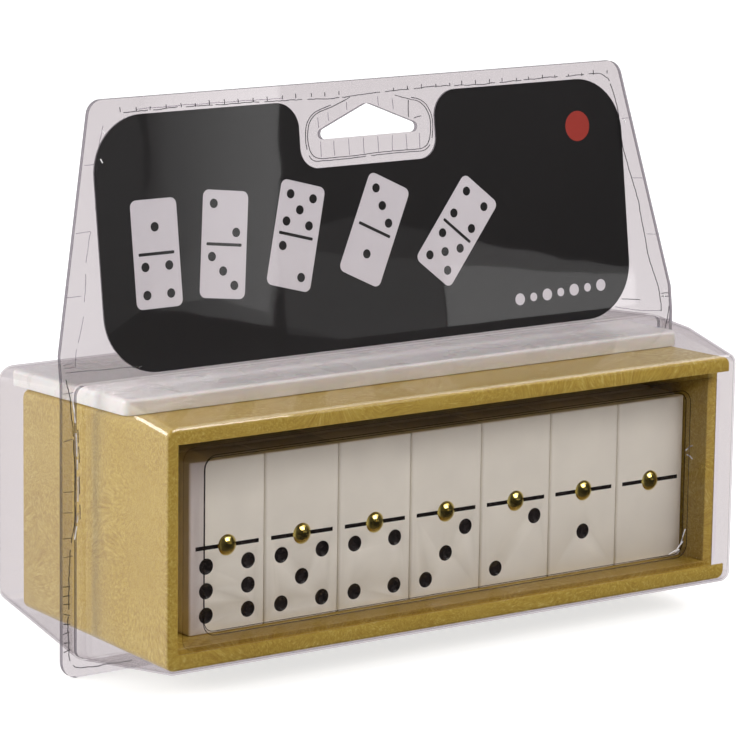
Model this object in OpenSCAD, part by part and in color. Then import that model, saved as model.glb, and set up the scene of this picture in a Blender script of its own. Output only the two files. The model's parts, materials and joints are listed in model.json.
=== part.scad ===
// Domino storage box, sealed in a clear hang pack with its tiles and its sliding lid.
// Millimetres. X runs along the box, Y from the front to the back, Z up.
// The origin is under the middle of the pack, level with the lowest edge of its weld flange.

/* [Tiles] */
// Width of a tile
tile_w = 25.4; // [20:0.1:30]
// Height of a tile
tile_h = 50; // [40:0.5:60]
// Thickness of a tile
tile_t = 13.5; // [9:0.5:16]
// Radius of a tile's upright edges
tile_edge_r = 0.8; // [0.3:0.1:2]
// Gap between neighbouring tiles
tile_gap = 0.2; // [0.1:0.05:0.5]
// Radius of a pip on the tile's face
pip_r = 2.35; // [1.5:0.05:2.8]
// Depth of a pip
pip_depth = 0.6; // [0.3:0.1:1]
// Distance between neighbouring pips of a column
pip_pitch = 7.1; // [6:0.1:8]
// Length of the bar across a tile
bar_l = 21.4; // [14:0.2:22]
// Height of the bar across a tile
bar_w = 1.2; // [0.6:0.1:2]
// Depth of the bar across a tile
bar_depth = 0.5; // [0.2:0.1:1]

/* [Spinner pins] */
// Radius of the pin's head
head_r = 3.1; // [2:0.1:4]
// Height of the pin's domed head
head_h = 1.6; // [0.8:0.1:2.5]
// Radius of the pin's shank
shank_r = 1.2; // [0.6:0.1:1.8]
// Length of the pin's shank
shank_l = 7; // [4:0.5:8]
// Clearance round the shank and at its end
shank_clear = 0.05; // [0.03:0.01:0.2]
// Clearance between a pin's head and the tile in front of it
head_clear = 0.3; // [0.2:0.05:1]

/* [Storage box] */
// Wall of the two long sides
long_wall = 4.5; // [3.5:0.1:6]
// Wall of the two ends
end_wall = 3.6; // [2.5:0.1:5]
// Wall of the back
back_wall = 3.5; // [2:0.1:5]
// Free length beside the tiles
spare_l = 14.8; // [6:0.2:20]
// Share of the free length that lies at the right end
right_gap = 1.4; // [0.5:0.1:3]
// Free height above the tiles
spare_h = 9.5; // [6:0.5:14]
// Depth from the box's front edge to the tiles' faces
face_depth = 15; // [12:0.5:20]
// Clearance behind the last layer of tiles
back_clear = 0.8; // [0.3:0.1:3]
// Draft: how much each outer wall draws in from front to back
box_draft = 1.2; // [0:0.1:1.8]
// Draft of the top wall, which draws in further
top_draft = 2.2; // [0:0.1:2.6]
// Radius of the outer corners
box_corner_r = 2.5; // [1:0.1:4]
// Radius of the cavity's corners
cavity_r = 0.5; // [0.3:0.1:0.6]
// Thickness of the lip in front of the lid's groove
lip_t = 0.9; // [0.8:0.1:2]
// Depth of the lid's groove
groove_depth = 1.8; // [0.5:0.1:2.1]
// Clearance under the tiles
floor_clear = 0.1; // [0.05:0.05:0.3]

/* [Sliding lid] */
// Thickness of the lid
lid_t = 4.7; // [3:0.1:5]
// Clearance of the lid in its groove, over its thickness
groove_play = 0.2; // [0.1:0.05:0.5]
// Clearance of the lid in its groove, at each edge
edge_play = 0.15; // [0.1:0.05:0.5]
// Radius of the lid's corners
lid_corner_r = 2.5; // [1.6:0.1:4]
// Radius of the lid's upper edges
lid_edge_r = 1.2; // [0.5:0.1:1.5]
// Distance from the box's front to the lid that lies on top
lid_setback = 24; // [18:0.5:26]
// How far the lid's middle lies to the right of the box's middle
lid_shift = 0.7; // [0:0.1:1]
// Gap between the lid and the box's top
lid_clear = 0.05; // [0.05:0.05:0.1]

/* [Clear shells] */
// Thickness of the plastic sheet
sheet_t = 0.5; // [0.3:0.05:0.8]
// Clearance between the box's front and the front shell
front_clear = 0.5; // [0.3:0.1:1]
// Clearance at each end of the box, at its front edge
end_clear = 1; // [0.8:0.1:1.5]
// How far the pack's middle lies to the right of the box's middle
pack_shift = 0.7; // [0:0.1:0.7]
// Clearance under the box, at its front edge
low_clear = 0.6; // [0.3:0.1:1]
// Clearance above the box, at its front edge
high_clear = 0.6; // [0.4:0.1:1]
// How much the end and lower walls of the front shell widen from the front to the flange
front_flare = 4.1; // [3.6:0.1:6]
// How much the upper wall of the front shell rises from the front to the flange, over the lid
front_rise = 5; // [5:0.1:6]
// Gap between the lid's front edge and the front shell over it
lid_headroom = 0.8; // [0.3:0.1:1.5]
// Distance from the box's front to the flange
flange_depth = 41; // [36:1:46]
// Room behind the lid, inside the rear shell
lid_room = 2.2; // [1:0.1:6]
// How much each end wall of the rear shell draws in towards the back
rear_end_draw = 3.2; // [1:0.1:3.4]
// How much the lower wall of the rear shell draws in towards the back
rear_low_draw = 6.2; // [2:0.1:6.4]
// How much the upper wall of the rear shell draws in towards the back
rear_high_draw = 2.9; // [0.5:0.1:3]
// Radius of the front shell's corners
front_corner_r = 3.2; // [2:0.1:4]
// Radius of the rear shell's corners
rear_corner_r = 5; // [3:0.1:5.5]
// Radius of the edges round the shells' front and back faces
face_edge_r = 1.8; // [1:0.1:2.5]
// Clearance between the pocket's wall and the box's mouth
pocket_clear = 0.5; // [0.3:0.1:1]
// Clearance between the pocket's floor and the pins' heads
pocket_float = 0.2; // [0.1:0.05:0.5]
// How far the pocket's left wall leans in from mouth to floor
pocket_lean_l = 15.5; // [2:0.5:16]
// How far the pocket's right wall leans in from mouth to floor
pocket_lean_r = 1.2; // [0.5:0.1:3]
// How far the pocket's upper wall leans in from mouth to floor
pocket_lean_t = 6.6; // [2:0.2:8]
// Radius of the pocket's corners
pocket_r = 4; // [2:0.5:6]
// Radius of the edge round the pocket's floor
pocket_edge_r = 1.5; // [1:0.1:2.5]

/* [Weld flange and header] */
// Width of the flange at the pack's ends
flange_w_end = 4.2; // [3:0.1:7]
// Width of the flange below the pack
flange_w_low = 4.7; // [3:0.1:8]
// Radius of the flange's lower corners
flange_r = 5; // [2:0.5:8]
// Height of the header above the fold, along its slope
header_h = 78.6; // [60:0.2:90]
// Angle by which the header leans back
header_lean = 7.7; // [0:0.1:12]
// Height above the fold at which the header's sides start to draw in
header_shoulder = 8; // [2:0.5:15]
// How much each side of the header draws in up to its top
header_draw = 15.5; // [0:0.5:25]
// Radius of the header's upper corners
header_r = 5; // [2:0.5:10]
// Half the width of the hang hole
hang_half_w = 17.4; // [12:0.2:20]
// Height of the hang hole
hang_h = 9.5; // [7:0.1:12]
// Distance from the header's top to the hang hole's highest point
hang_drop = 7; // [5:0.2:12]

/* [Header card] */
// Thickness of the card
card_t = 0.4; // [0.2:0.05:0.6]
// Clearance round the card, on every side
card_clear = 0.05; // [0.03:0.01:0.1]
// Width of the card
card_w = 189.6; // [160:0.2:192]
// Distance from the fold to the card's lower edge
card_lift = 0.5; // [0.5:0.1:4]
// Distance from the header's top to the card's upper edge
card_drop = 4.9; // [3.5:0.1:10]
// Radius of the card's corners
card_r = 17; // [5:0.5:20]
// Half the width of the card's notch
notch_half_w = 24.4; // [22:0.2:30]
// Depth of the card's notch
notch_h = 19.8; // [18:0.2:24]
// Radius of the notch's corners
notch_r = 6; // [2:0.5:8]
// Radius where the notch runs out into the card's upper edge
notch_flare_r = 8; // [2:0.5:10]

/* [Hidden] */
COLUMNS = 7;
LAYERS = 4;
HULL_FN = 28;
EPS = 0.05;
OVER = 1;

// The pips on the upper and lower half of each tile, from the front layer's left end to the back.
SET = [
    [0, 6], [0, 5], [0, 4], [0, 3], [0, 2], [0, 1], [0, 0],
    [1, 6], [1, 5], [1, 4], [1, 3], [1, 2], [1, 1], [2, 6],
    [2, 5], [2, 4], [2, 3], [2, 2], [3, 6], [3, 5], [3, 4],
    [3, 3], [4, 6], [4, 5], [4, 4], [5, 6], [5, 5], [6, 6]
];

// Places of the pips on half a tile, in steps of half the distance between the columns and rows.
PIPS = [
    [],
    [[0, 0]],
    [[1, 1], [-1, -1]],
    [[1, 1], [0, 0], [-1, -1]],
    [[-1, 1], [1, 1], [-1, -1], [1, -1]],
    [[-1, 1], [1, 1], [0, 0], [-1, -1], [1, -1]],
    [[-1, 1], [1, 1], [-1, 0], [1, 0], [-1, -1], [1, -1]]
];

function tile_name(i) = str("tile_", SET[i][0], "_", SET[i][1]);
function pins_name(layer) = str("spinner_pins_", layer + 1);

TILE_NODES = [for (i = [0 : len(SET) - 1]) tile_name(i)];
PIN_NODES = [for (layer = [0 : LAYERS - 1]) pins_name(layer)];

// Box, from the tiles it holds.
cavity_l = COLUMNS * (tile_w + tile_gap) - tile_gap + spare_l;
cavity_h = tile_h + spare_h;
layer_pitch = tile_t + head_h + head_clear;
tiles_depth = LAYERS * tile_t + (LAYERS - 1) * (head_h + head_clear);
box_l = cavity_l + 2 * end_wall;
box_h = cavity_h + 2 * long_wall;
box_d = face_depth + tiles_depth + back_clear + back_wall;
groove_w = lid_t + groove_play;
end_setback = lip_t + groove_w;

// Lid: it fills the box's front from groove to groove, and lies on the drafted top.
lid_w = cavity_h + 2 * (groove_depth - edge_play);
lid_l = box_l - end_wall + groove_depth - edge_play;
top_slope = atan2(top_draft, box_d);
lid_back = lid_setback + lid_w * cos(top_slope);
lid_top = box_h - lid_setback * tan(top_slope) + lid_clear + lid_t;

// Shells, in depths from the box's front.
shell_front = -front_clear - sheet_t;
shell_back = lid_back + lid_room + sheet_t;
pack_d = shell_back - shell_front;
sheet_gap = card_t / 2 + card_clear;
weld_gap = 0.05;
fold_rise = 0.4;

// Half lengths and heights of the shells' outsides, above the box's bottom.
front_half = box_l / 2 + end_clear + sheet_t;
front_low = -low_clear - sheet_t;
front_high = box_h + high_clear + sheet_t;
flange_half = front_half + front_flare;
flange_low = front_low - front_flare;
flange_high = front_high + front_rise;
brow_high = min(lid_top + lid_headroom + sheet_t, flange_high);
back_half = flange_half - rear_end_draw;
back_low = flange_low + rear_low_draw;
back_high = flange_high - rear_high_draw;
flange_outer = flange_half + flange_w_end;
flange_foot = flange_low - flange_w_low;

// Place of the box in the pack's own frame.
box_x = -pack_shift - box_l / 2;
box_y = -pack_d / 2 - shell_front;
box_z = -flange_foot;
flange_y = box_y + flange_depth;
fold_z = box_z + flange_high + fold_rise;
front_plate_y = flange_y - sheet_gap - sheet_t;
rear_plate_y = flange_y + sheet_gap;

// Pocket of the front shell, in the box's mouth.
pocket_depth = face_depth - head_h - pocket_float;
pocket_x0 = box_x + end_wall + pocket_clear;
pocket_x1 = box_x + box_l - end_wall - pocket_clear;
pocket_z0 = box_z + long_wall + pocket_clear;
pocket_z1 = box_z + box_h - long_wall - pocket_clear;

// Header and card, in heights above the fold, along the slope.
header_top_z = fold_z + header_h * cos(header_lean);
header_top_half = flange_outer - header_draw;
hang_top = header_h - hang_drop;
hang_low = hang_top - hang_h;
hang_corner_r = 1.6;
hang_apex_r = 3;
card_top = header_h - card_drop;

// A rectangle with round corners, x0 to x1 and y0 to y1.
module round_rect(x0, x1, y0, y1, r) {
    translate([x0 + r, y0]) square([x1 - x0 - 2 * r, y1 - y0]);
    translate([x0, y0 + r]) square([x1 - x0, y1 - y0 - 2 * r]);
    for (x = [x0 + r, x1 - r])
        for (y = [y0 + r, y1 - r])
            translate([x, y]) circle(r = r, $fn = HULL_FN);
}

// Stands a flat drawing up in the XZ plane: its near face at depth y, and thick towards the back.
module upright(y, thick) {
    translate([0, y + thick, 0]) rotate([90, 0, 0]) linear_extrude(thick) children();
}

// Lays a YZ drawing along X, from x0 over a length.
module along_x(x0, length) {
    translate([x0, 0, 0]) rotate([90, 0, 90]) linear_extrude(length) children();
}

// A disc with one rounded rim: its face on Y = 0, thick towards the back (dir 1) or front (dir -1).
module rim_disc(r, edge, dir) {
    rotate([-90 * dir, 0, 0])
        rotate_extrude($fn = HULL_FN)
            intersection() {
                square([r, edge]);
                union() {
                    square([r - edge, edge]);
                    translate([r - edge, edge]) circle(r = edge, $fn = HULL_FN);
                }
            }
}

// The four corners of a rounded plate, for a hull: x0 to x1, z0 to z1, its face at depth y.
module plate_corners(x0, x1, z0, z1, r, edge, y, dir) {
    for (x = [x0 + r, x1 - r])
        for (z = [z0 + r, z1 - r])
            translate([x, y, z]) rim_disc(r, edge, dir);
}

// ---- Storage box ----

module box_outside() {
    intersection() {
        upright(box_y, box_d)
            round_rect(box_x, box_x + box_l, box_z, box_z + box_h, box_corner_r);
        along_x(box_x - OVER, box_l + 2 * OVER)
            polygon([
                [box_y, box_z],
                [box_y + box_d, box_z + box_draft],
                [box_y + box_d, box_z + box_h - top_draft],
                [box_y, box_z + box_h]
            ]);
        translate([0, 0, box_z - OVER])
            linear_extrude(box_h + 2 * OVER)
                polygon([
                    [box_x, box_y],
                    [box_x + box_l, box_y],
                    [box_x + box_l - box_draft, box_y + box_d],
                    [box_x + box_draft, box_y + box_d]
                ]);
    }
}

module storage_box() {
    cavity_x = box_x + end_wall;
    cavity_z = box_z + long_wall;
    color("#c9ad55")
    difference() {
        box_outside();
        // The cavity, open at the front.
        upright(box_y - OVER, box_d - back_wall + OVER)
            round_rect(cavity_x, cavity_x + cavity_l, cavity_z, cavity_z + cavity_h, cavity_r);
        // The lid's groove in both long walls and the left end wall, open at the right end.
        translate([cavity_x - groove_depth, box_y + lip_t, cavity_z - groove_depth])
            cube([box_l, groove_w, cavity_h + 2 * groove_depth]);
        // The right end wall stands back, so that the lid can slide in over it.
        translate([cavity_x + cavity_l - EPS, box_y - OVER, cavity_z])
            cube([end_wall + OVER, end_setback + OVER, cavity_h]);
    }
}

// ---- Sliding lid, lying on the box's drafted top ----

module sliding_lid() {
    color("#e9e6e0")
    translate([box_x + box_l / 2 + lid_shift, box_y, box_z + box_h + lid_clear])
        rotate([-top_slope, 0, 0])
            translate([-lid_l / 2, lid_setback, 0])
                hull() {
                    linear_extrude(lid_t / 4) round_rect(0, lid_l, 0, lid_w, lid_corner_r);
                    translate([0, 0, lid_t])
                        rotate([-90, 0, 0])
                            plate_corners(0, lid_l, 0, lid_w, lid_corner_r, lid_edge_r, 0, 1);
                }
}

// ---- Tiles and their pins ----

function column_x(column) =
    box_x + box_l - end_wall - right_gap - (COLUMNS - column) * (tile_w + tile_gap) + tile_gap;
function layer_y(layer) = box_y + face_depth + layer * layer_pitch;
tile_z = box_z + long_wall + floor_clear;

module pip_cut(x, z) {
    sphere_r = (pip_r * pip_r + pip_depth * pip_depth) / (2 * pip_depth);
    translate([x, pip_depth - sphere_r, z]) sphere(r = sphere_r, $fn = 48);
}

// One tile, with its front face on Y = 0 and its lower left corner at the origin.
module tile(upper, lower) {
    color("#d6cfc4")
    difference() {
        linear_extrude(tile_h) round_rect(0, tile_w, 0, tile_t, tile_edge_r);
        for (half = [[upper, 0.75], [lower, 0.25]])
            for (p = PIPS[half[0]])
                pip_cut(tile_w / 2 + p[0] * pip_pitch, half[1] * tile_h + p[1] * pip_pitch);
        translate([(tile_w - bar_l) / 2, -OVER, (tile_h - bar_w) / 2])
            cube([bar_l, bar_depth + OVER, bar_w]);
        translate([tile_w / 2, shank_l + shank_clear, tile_h / 2])
            rotate([90, 0, 0])
                cylinder(r = shank_r + shank_clear, h = shank_l + shank_clear + OVER, $fn = 32);
    }
}

module tile_in_place(i) {
    translate([column_x(i % COLUMNS), layer_y(floor(i / COLUMNS)), tile_z])
        tile(SET[i][0], SET[i][1]);
}

// One pin, with the underside of its head on Y = 0.
module spinner_pin() {
    dome_r = (head_r * head_r + head_h * head_h) / (2 * head_h);
    rotate([-90, 0, 0]) cylinder(r = shank_r, h = shank_l, $fn = 32);
    intersection() {
        translate([0, dome_r - head_h, 0]) sphere(r = dome_r, $fn = 48);
        rotate([90, 0, 0]) cylinder(r = head_r + OVER, h = head_h + OVER, $fn = 32);
    }
}

module spinner_pins(layer) {
    color("#c9a64c")
    for (column = [0 : COLUMNS - 1])
        translate([column_x(column) + tile_w / 2, layer_y(layer), tile_z + tile_h / 2])
            spinner_pin();
}

// ---- Clear shells ----

// The outline of both sheets, seen from the front: the flange with the header above it.
module sheet_outline() {
    side_angle = atan2(header_h - header_shoulder, header_draw);
    reach = header_r / tan(90 - side_angle / 2);
    top_end = header_top_half - reach;
    side_x = header_top_half + reach * cos(side_angle);
    side_z = header_top_z - reach * sin(side_angle);
    round_rect(-flange_outer, flange_outer, 0, 3 * flange_r, flange_r);
    polygon([
        [-flange_outer, flange_r],
        [flange_outer, flange_r],
        [flange_outer, fold_z + header_shoulder],
        [side_x, side_z],
        [top_end, header_top_z],
        [-top_end, header_top_z],
        [-side_x, side_z],
        [-flange_outer, fold_z + header_shoulder]
    ]);
    for (x = [-top_end, top_end])
        translate([x, header_top_z - header_r]) circle(r = header_r, $fn = 64);
}

// One sheet of the flange and header, from offset y0 to y1 of the plane between the sheets.
module folded_sheet(y0, y1) {
    lean_y = (header_h + OVER) * sin(header_lean);
    lean_z = (header_h + OVER) * cos(header_lean);
    mitre = tan(header_lean / 2);
    intersection() {
        upright(flange_y - OVER, lean_y + 3 * OVER) sheet_outline();
        along_x(-flange_outer - OVER, 2 * (flange_outer + OVER))
            polygon([
                [flange_y + y0, -OVER],
                [flange_y + y1, -OVER],
                [flange_y + y1, fold_z - y1 * mitre],
                [flange_y + y1 * cos(header_lean) + lean_y, fold_z - y1 * sin(header_lean) + lean_z],
                [flange_y + y0 * cos(header_lean) + lean_y, fold_z - y0 * sin(header_lean) + lean_z],
                [flange_y + y0, fold_z - y0 * mitre]
            ]);
    }
}

module hang_hole(y, thick) {
    upright(y, thick)
        hull() {
            for (side = [-1, 1])
                translate([side * (hang_half_w - hang_corner_r), hang_low + hang_corner_r])
                    circle(r = hang_corner_r, $fn = HULL_FN);
            translate([0, hang_top - hang_apex_r]) circle(r = hang_apex_r, $fn = HULL_FN);
        }
}

// The card's outline, grown by a clearance.
module card_outline(grow = 0) {
    difference() {
        round_rect(-card_w / 2 - grow, card_w / 2 + grow, card_lift - grow, card_top + grow, card_r);
        round_rect(
            -notch_half_w + grow, notch_half_w - grow,
            card_top - notch_h + grow, card_top + 2 * notch_r + OVER, notch_r
        );
        for (side = [0, 1])
            mirror([side, 0])
                translate([notch_half_w - grow - EPS, card_top - notch_flare_r + grow])
                    difference() {
                        square([notch_flare_r, notch_flare_r + OVER]);
                        translate([notch_flare_r, 0]) circle(r = notch_flare_r, $fn = 48);
                    }
    }
}

// Places a header piece: its frame starts at the fold and leans back.
module leaning() {
    translate([0, flange_y, fold_z]) rotate([-header_lean, 0, 0]) children();
}

module front_body(wall, flange_end) {
    half = flange_half - wall;
    hull() {
        plate_corners(
            -front_half + wall, front_half - wall,
            box_z + front_low + wall, box_z + front_high - wall,
            front_corner_r - wall, face_edge_r - wall, box_y + shell_front + wall, 1
        );
        // The brow over the lid's front edge, where the top turns flatter.
        upright(box_y + lid_setback - 1.5, 0.5)
            round_rect(
                -front_half - front_flare / 2 + wall, front_half + front_flare / 2 - wall,
                box_z + front_low - front_flare / 2 + wall, box_z + brow_high - wall,
                front_corner_r - wall
            );
        upright(front_plate_y, flange_end - front_plate_y)
            round_rect(
                -half, half, box_z + flange_low + wall, box_z + flange_high - wall,
                front_corner_r - wall
            );
    }
}

module rear_body(wall, flange_start) {
    half = flange_half - wall;
    hull() {
        plate_corners(
            -back_half + wall, back_half - wall,
            box_z + back_low + wall, box_z + back_high - wall,
            rear_corner_r - wall, face_edge_r - wall, box_y + shell_back - wall, -1
        );
        upright(flange_start, rear_plate_y + sheet_t - flange_start)
            round_rect(
                -half, half, box_z + flange_low + wall, box_z + flange_high - wall,
                front_corner_r - wall
            );
    }
}

// The pocket: wall 0 gives its outside, which faces the tiles, and sheet_t its hollow.
module pocket_body(wall) {
    mouth_y = box_y + shell_front - (wall > 0 ? OVER : 0);
    r = pocket_r - wall;
    hull() {
        upright(mouth_y, sheet_t + (wall > 0 ? OVER : 0))
            round_rect(pocket_x0 + wall, pocket_x1 - wall, pocket_z0 + wall, pocket_z1 - wall, r);
        plate_corners(
            pocket_x0 + wall + pocket_lean_l, pocket_x1 - wall - pocket_lean_r,
            pocket_z0 + wall, pocket_z1 - wall - pocket_lean_t,
            r, pocket_edge_r - wall, box_y + pocket_depth - wall, -1
        );
    }
}

module front_shell() {
    color("#dcdbe0", 0.35)
    difference() {
        union() {
            difference() {
                union() {
                    front_body(0, front_plate_y + sheet_t);
                    folded_sheet(-sheet_gap - sheet_t, -sheet_gap);
                }
                front_body(sheet_t, front_plate_y + sheet_t + OVER);
            }
            pocket_body(0);
        }
        pocket_body(sheet_t);
        leaning() hang_hole(-sheet_gap - sheet_t - OVER, sheet_t + 2 * OVER);
    }
}

module rear_shell() {
    color("#d6d5db", 0.35)
    difference() {
        union() {
            rear_body(0, rear_plate_y);
            folded_sheet(-sheet_gap + weld_gap, sheet_gap + sheet_t);
        }
        rear_body(sheet_t, flange_y - sheet_gap - OVER);
        // The bed that the card lies in, between the two sheets.
        leaning()
            upright(-sheet_gap - OVER, 2 * sheet_gap + OVER) card_outline(card_clear);
        leaning() hang_hole(-sheet_gap - OVER, 2 * sheet_gap + sheet_t + 2 * OVER);
    }
}

module header_card() {
    color("#262023")
    leaning() upright(-card_t / 2, card_t) card_outline();
}

storage_box();
sliding_lid();
for (i = [0 : len(SET) - 1])
    tile_in_place(i);
for (layer = [0 : LAYERS - 1])
    spinner_pins(layer);
front_shell();
rear_shell();
header_card();
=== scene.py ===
"""Looks for the domino storage box in its clear hang pack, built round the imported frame."""

import json
import math
import random

import bmesh
import bpy
from mathutils import Matrix, Vector


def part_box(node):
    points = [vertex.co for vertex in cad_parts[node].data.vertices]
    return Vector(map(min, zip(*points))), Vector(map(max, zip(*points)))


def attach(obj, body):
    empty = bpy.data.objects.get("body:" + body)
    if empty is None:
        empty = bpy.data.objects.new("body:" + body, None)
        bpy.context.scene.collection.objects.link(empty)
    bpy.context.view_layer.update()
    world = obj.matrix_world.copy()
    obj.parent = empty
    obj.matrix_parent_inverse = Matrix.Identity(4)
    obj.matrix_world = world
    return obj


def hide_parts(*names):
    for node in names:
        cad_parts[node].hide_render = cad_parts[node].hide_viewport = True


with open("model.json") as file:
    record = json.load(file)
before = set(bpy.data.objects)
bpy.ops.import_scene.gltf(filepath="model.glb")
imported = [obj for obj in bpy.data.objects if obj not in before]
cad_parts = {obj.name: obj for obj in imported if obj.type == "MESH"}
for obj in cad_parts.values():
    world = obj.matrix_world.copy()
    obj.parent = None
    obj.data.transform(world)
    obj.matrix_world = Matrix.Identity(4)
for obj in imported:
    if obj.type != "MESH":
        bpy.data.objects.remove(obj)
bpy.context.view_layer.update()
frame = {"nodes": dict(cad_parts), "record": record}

MM = 0.001

# The plane between the two clear sheets, in mm: upright up to the fold, then leaning back.
FLANGE_Y = -3.238
FOLD_Z = 84.9
LEAN = math.radians(7.7)
SHEET_FRONT = -0.75
CARD_FRONT = -0.2


def linear(code):
    """A colour written as sRGB hex, in the linear values that the shaders take."""
    parts = [int(code[i : i + 2], 16) / 255 for i in (1, 3, 5)]
    return [c / 12.92 if c <= 0.04045 else ((c + 0.055) / 1.055) ** 2.4 for c in parts] + [1.0]


def add(tree, kind, inputs=None, stops=None, **settings):
    """Adds a node with its settings and links. An input takes a number, a hex colour or an output,
    and stops are a colour ramp's places and hex colours."""
    made = tree.nodes.new(kind)
    for name, value in settings.items():
        setattr(made, name, value)
    for name, value in (inputs or {}).items():
        if isinstance(value, bpy.types.NodeSocket):
            tree.links.new(value, made.inputs[name])
        else:
            made.inputs[name].default_value = linear(value) if isinstance(value, str) else value
    for index, (place, code) in enumerate(stops or []):
        elements = made.color_ramp.elements
        stop = elements[index] if index < len(elements) else elements.new(place)
        stop.position = place
        stop.color = linear(code)
    return made


def new_material(name):
    """An empty node material, its tree and its output's surface socket."""
    material = bpy.data.materials.new(name)
    material.use_nodes = True
    tree = material.node_tree
    tree.nodes.clear()
    return material, tree, tree.nodes.new("ShaderNodeOutputMaterial").inputs["Surface"]


def sheet_point(x, height, off=0.0):
    """A point on the clear sheets, in metres. height runs up the flange and on up the leaning header."""
    if height <= FOLD_Z:
        return Vector((x, FLANGE_Y + off, height)) * MM
    up = height - FOLD_Z
    return Vector(
        (
            x,
            FLANGE_Y + off * math.cos(LEAN) + up * math.sin(LEAN),
            FOLD_Z - off * math.sin(LEAN) + up * math.cos(LEAN),
        )
    ) * MM


# ---- Camera: the photograph's viewpoint ----

camera = bpy.data.objects.new("camera", bpy.data.cameras.new("camera"))
bpy.context.scene.collection.objects.link(camera)
camera.data.lens = 202.15
camera.data.sensor_width = 36.0
camera.data.clip_end = 20.0
RIGHT = Vector((0.81344, -0.58149, 0.01347))
UP = Vector((0.10270, 0.16638, 0.98070))
BACK = Vector((-0.57251, -0.79635, 0.19506))
camera.matrix_world = Matrix.Translation(Vector((-700.37, -970.70, 315.84)) * MM) @ Matrix(
    (RIGHT, UP, BACK)
).transposed().to_4x4()
bpy.context.scene.camera = camera


# ---- Materials ----


def injection_moulded_ochre():
    """Injection-moulded ABS in ochre with pearly pigment: satin gloss, and fine pale fibres that fan out
    from the places where the melt fronts met."""
    material, tree, surface = new_material("injection_moulded_ochre")
    place = add(tree, "ShaderNodeTexCoord").outputs["Object"]
    bent = add(tree, "ShaderNodeTexNoise", {"Vector": place, "Scale": 60.0, "Detail": 2.0})
    shifted = add(
        tree,
        "ShaderNodeVectorMath",
        {0: bent.outputs["Color"], 1: (0.006, 0.006, 0.006), 2: place},
        operation="MULTIPLY_ADD",
    ).outputs[0]
    # Fans about 30 mm across, each with its own centre.
    fans = add(tree, "ShaderNodeTexVoronoi", {"Vector": shifted, "Scale": 34.0, "Randomness": 1.0})
    arm = add(
        tree, "ShaderNodeVectorMath", {0: shifted, 1: fans.outputs["Position"]}, operation="SUBTRACT"
    ).outputs[0]
    heading = add(tree, "ShaderNodeVectorMath", {0: arm}, operation="NORMALIZE").outputs[0]
    along = add(tree, "ShaderNodeVectorMath", {0: arm, "Scale": 60.0}, operation="SCALE").outputs[0]
    across = add(
        tree, "ShaderNodeVectorMath", {0: heading, 1: (16.0, 16.0, 16.0), 2: along}, operation="MULTIPLY_ADD"
    ).outputs[0]
    fibres = add(
        tree, "ShaderNodeTexNoise", {"Vector": across, "Scale": 1.6, "Detail": 5.0, "Roughness": 0.65}
    ).outputs["Fac"]
    # Short curled hairs about 2.4 mm apart, drawn as coarse as they need to show, and clouds about
    # 25 mm across.
    hairs = add(
        tree,
        "ShaderNodeTexNoise",
        {"Vector": shifted, "Scale": 420.0, "Detail": 3.0, "Distortion": 2.2},
    ).outputs["Fac"]
    clouds = add(tree, "ShaderNodeTexNoise", {"Vector": place, "Scale": 40.0, "Detail": 2.0}).outputs["Fac"]
    strokes = add(tree, "ShaderNodeMix", {0: 0.2, 2: fibres, 3: hairs}).outputs[0]
    mixed = add(tree, "ShaderNodeMix", {0: 0.1, 2: strokes, 3: clouds}).outputs[0]
    colour = add(
        tree,
        "ShaderNodeValToRGB",
        {"Fac": mixed},
        [(0.38, "#A58330"), (0.47, "#B29439"), (0.54, "#BDA144"), (0.63, "#CDB768")],
    ).outputs["Color"]
    rough = add(
        tree,
        "ShaderNodeMapRange",
        {"Value": mixed, "From Min": 0.4, "From Max": 0.6, "To Min": 0.42, "To Max": 0.3},
    ).outputs["Result"]
    bump = add(
        tree, "ShaderNodeBump", {"Height": hairs, "Strength": 0.05, "Distance": 0.0002}
    ).outputs["Normal"]
    skin = add(
        tree,
        "ShaderNodeBsdfPrincipled",
        {"Base Color": colour, "Roughness": rough, "Normal": bump, "IOR": 1.53},
    )
    tree.links.new(skin.outputs["BSDF"], surface)
    return material


def extruded_white_sheet():
    """Milky polystyrene sheet, cut and polished: soft white with faint clouds and a satin face."""
    material, tree, surface = new_material("extruded_white_sheet")
    place = add(tree, "ShaderNodeTexCoord").outputs["Object"]
    clouds = add(tree, "ShaderNodeTexNoise", {"Vector": place, "Scale": 60.0, "Detail": 4.0}).outputs["Fac"]
    colour = add(
        tree, "ShaderNodeValToRGB", {"Fac": clouds}, [(0.3, "#EFEDEA"), (0.7, "#F8F6F4")]
    ).outputs["Color"]
    rough = add(
        tree, "ShaderNodeMapRange", {"Value": clouds, "To Min": 0.22, "To Max": 0.34}
    ).outputs["Result"]
    skin = add(
        tree,
        "ShaderNodeBsdfPrincipled",
        {
            "Base Color": colour,
            "Roughness": rough,
            "IOR": 1.55,
            "Subsurface Weight": 0.15,
            "Subsurface Scale": 0.003,
        },
    )
    tree.links.new(skin.outputs["BSDF"], surface)
    return material


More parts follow.
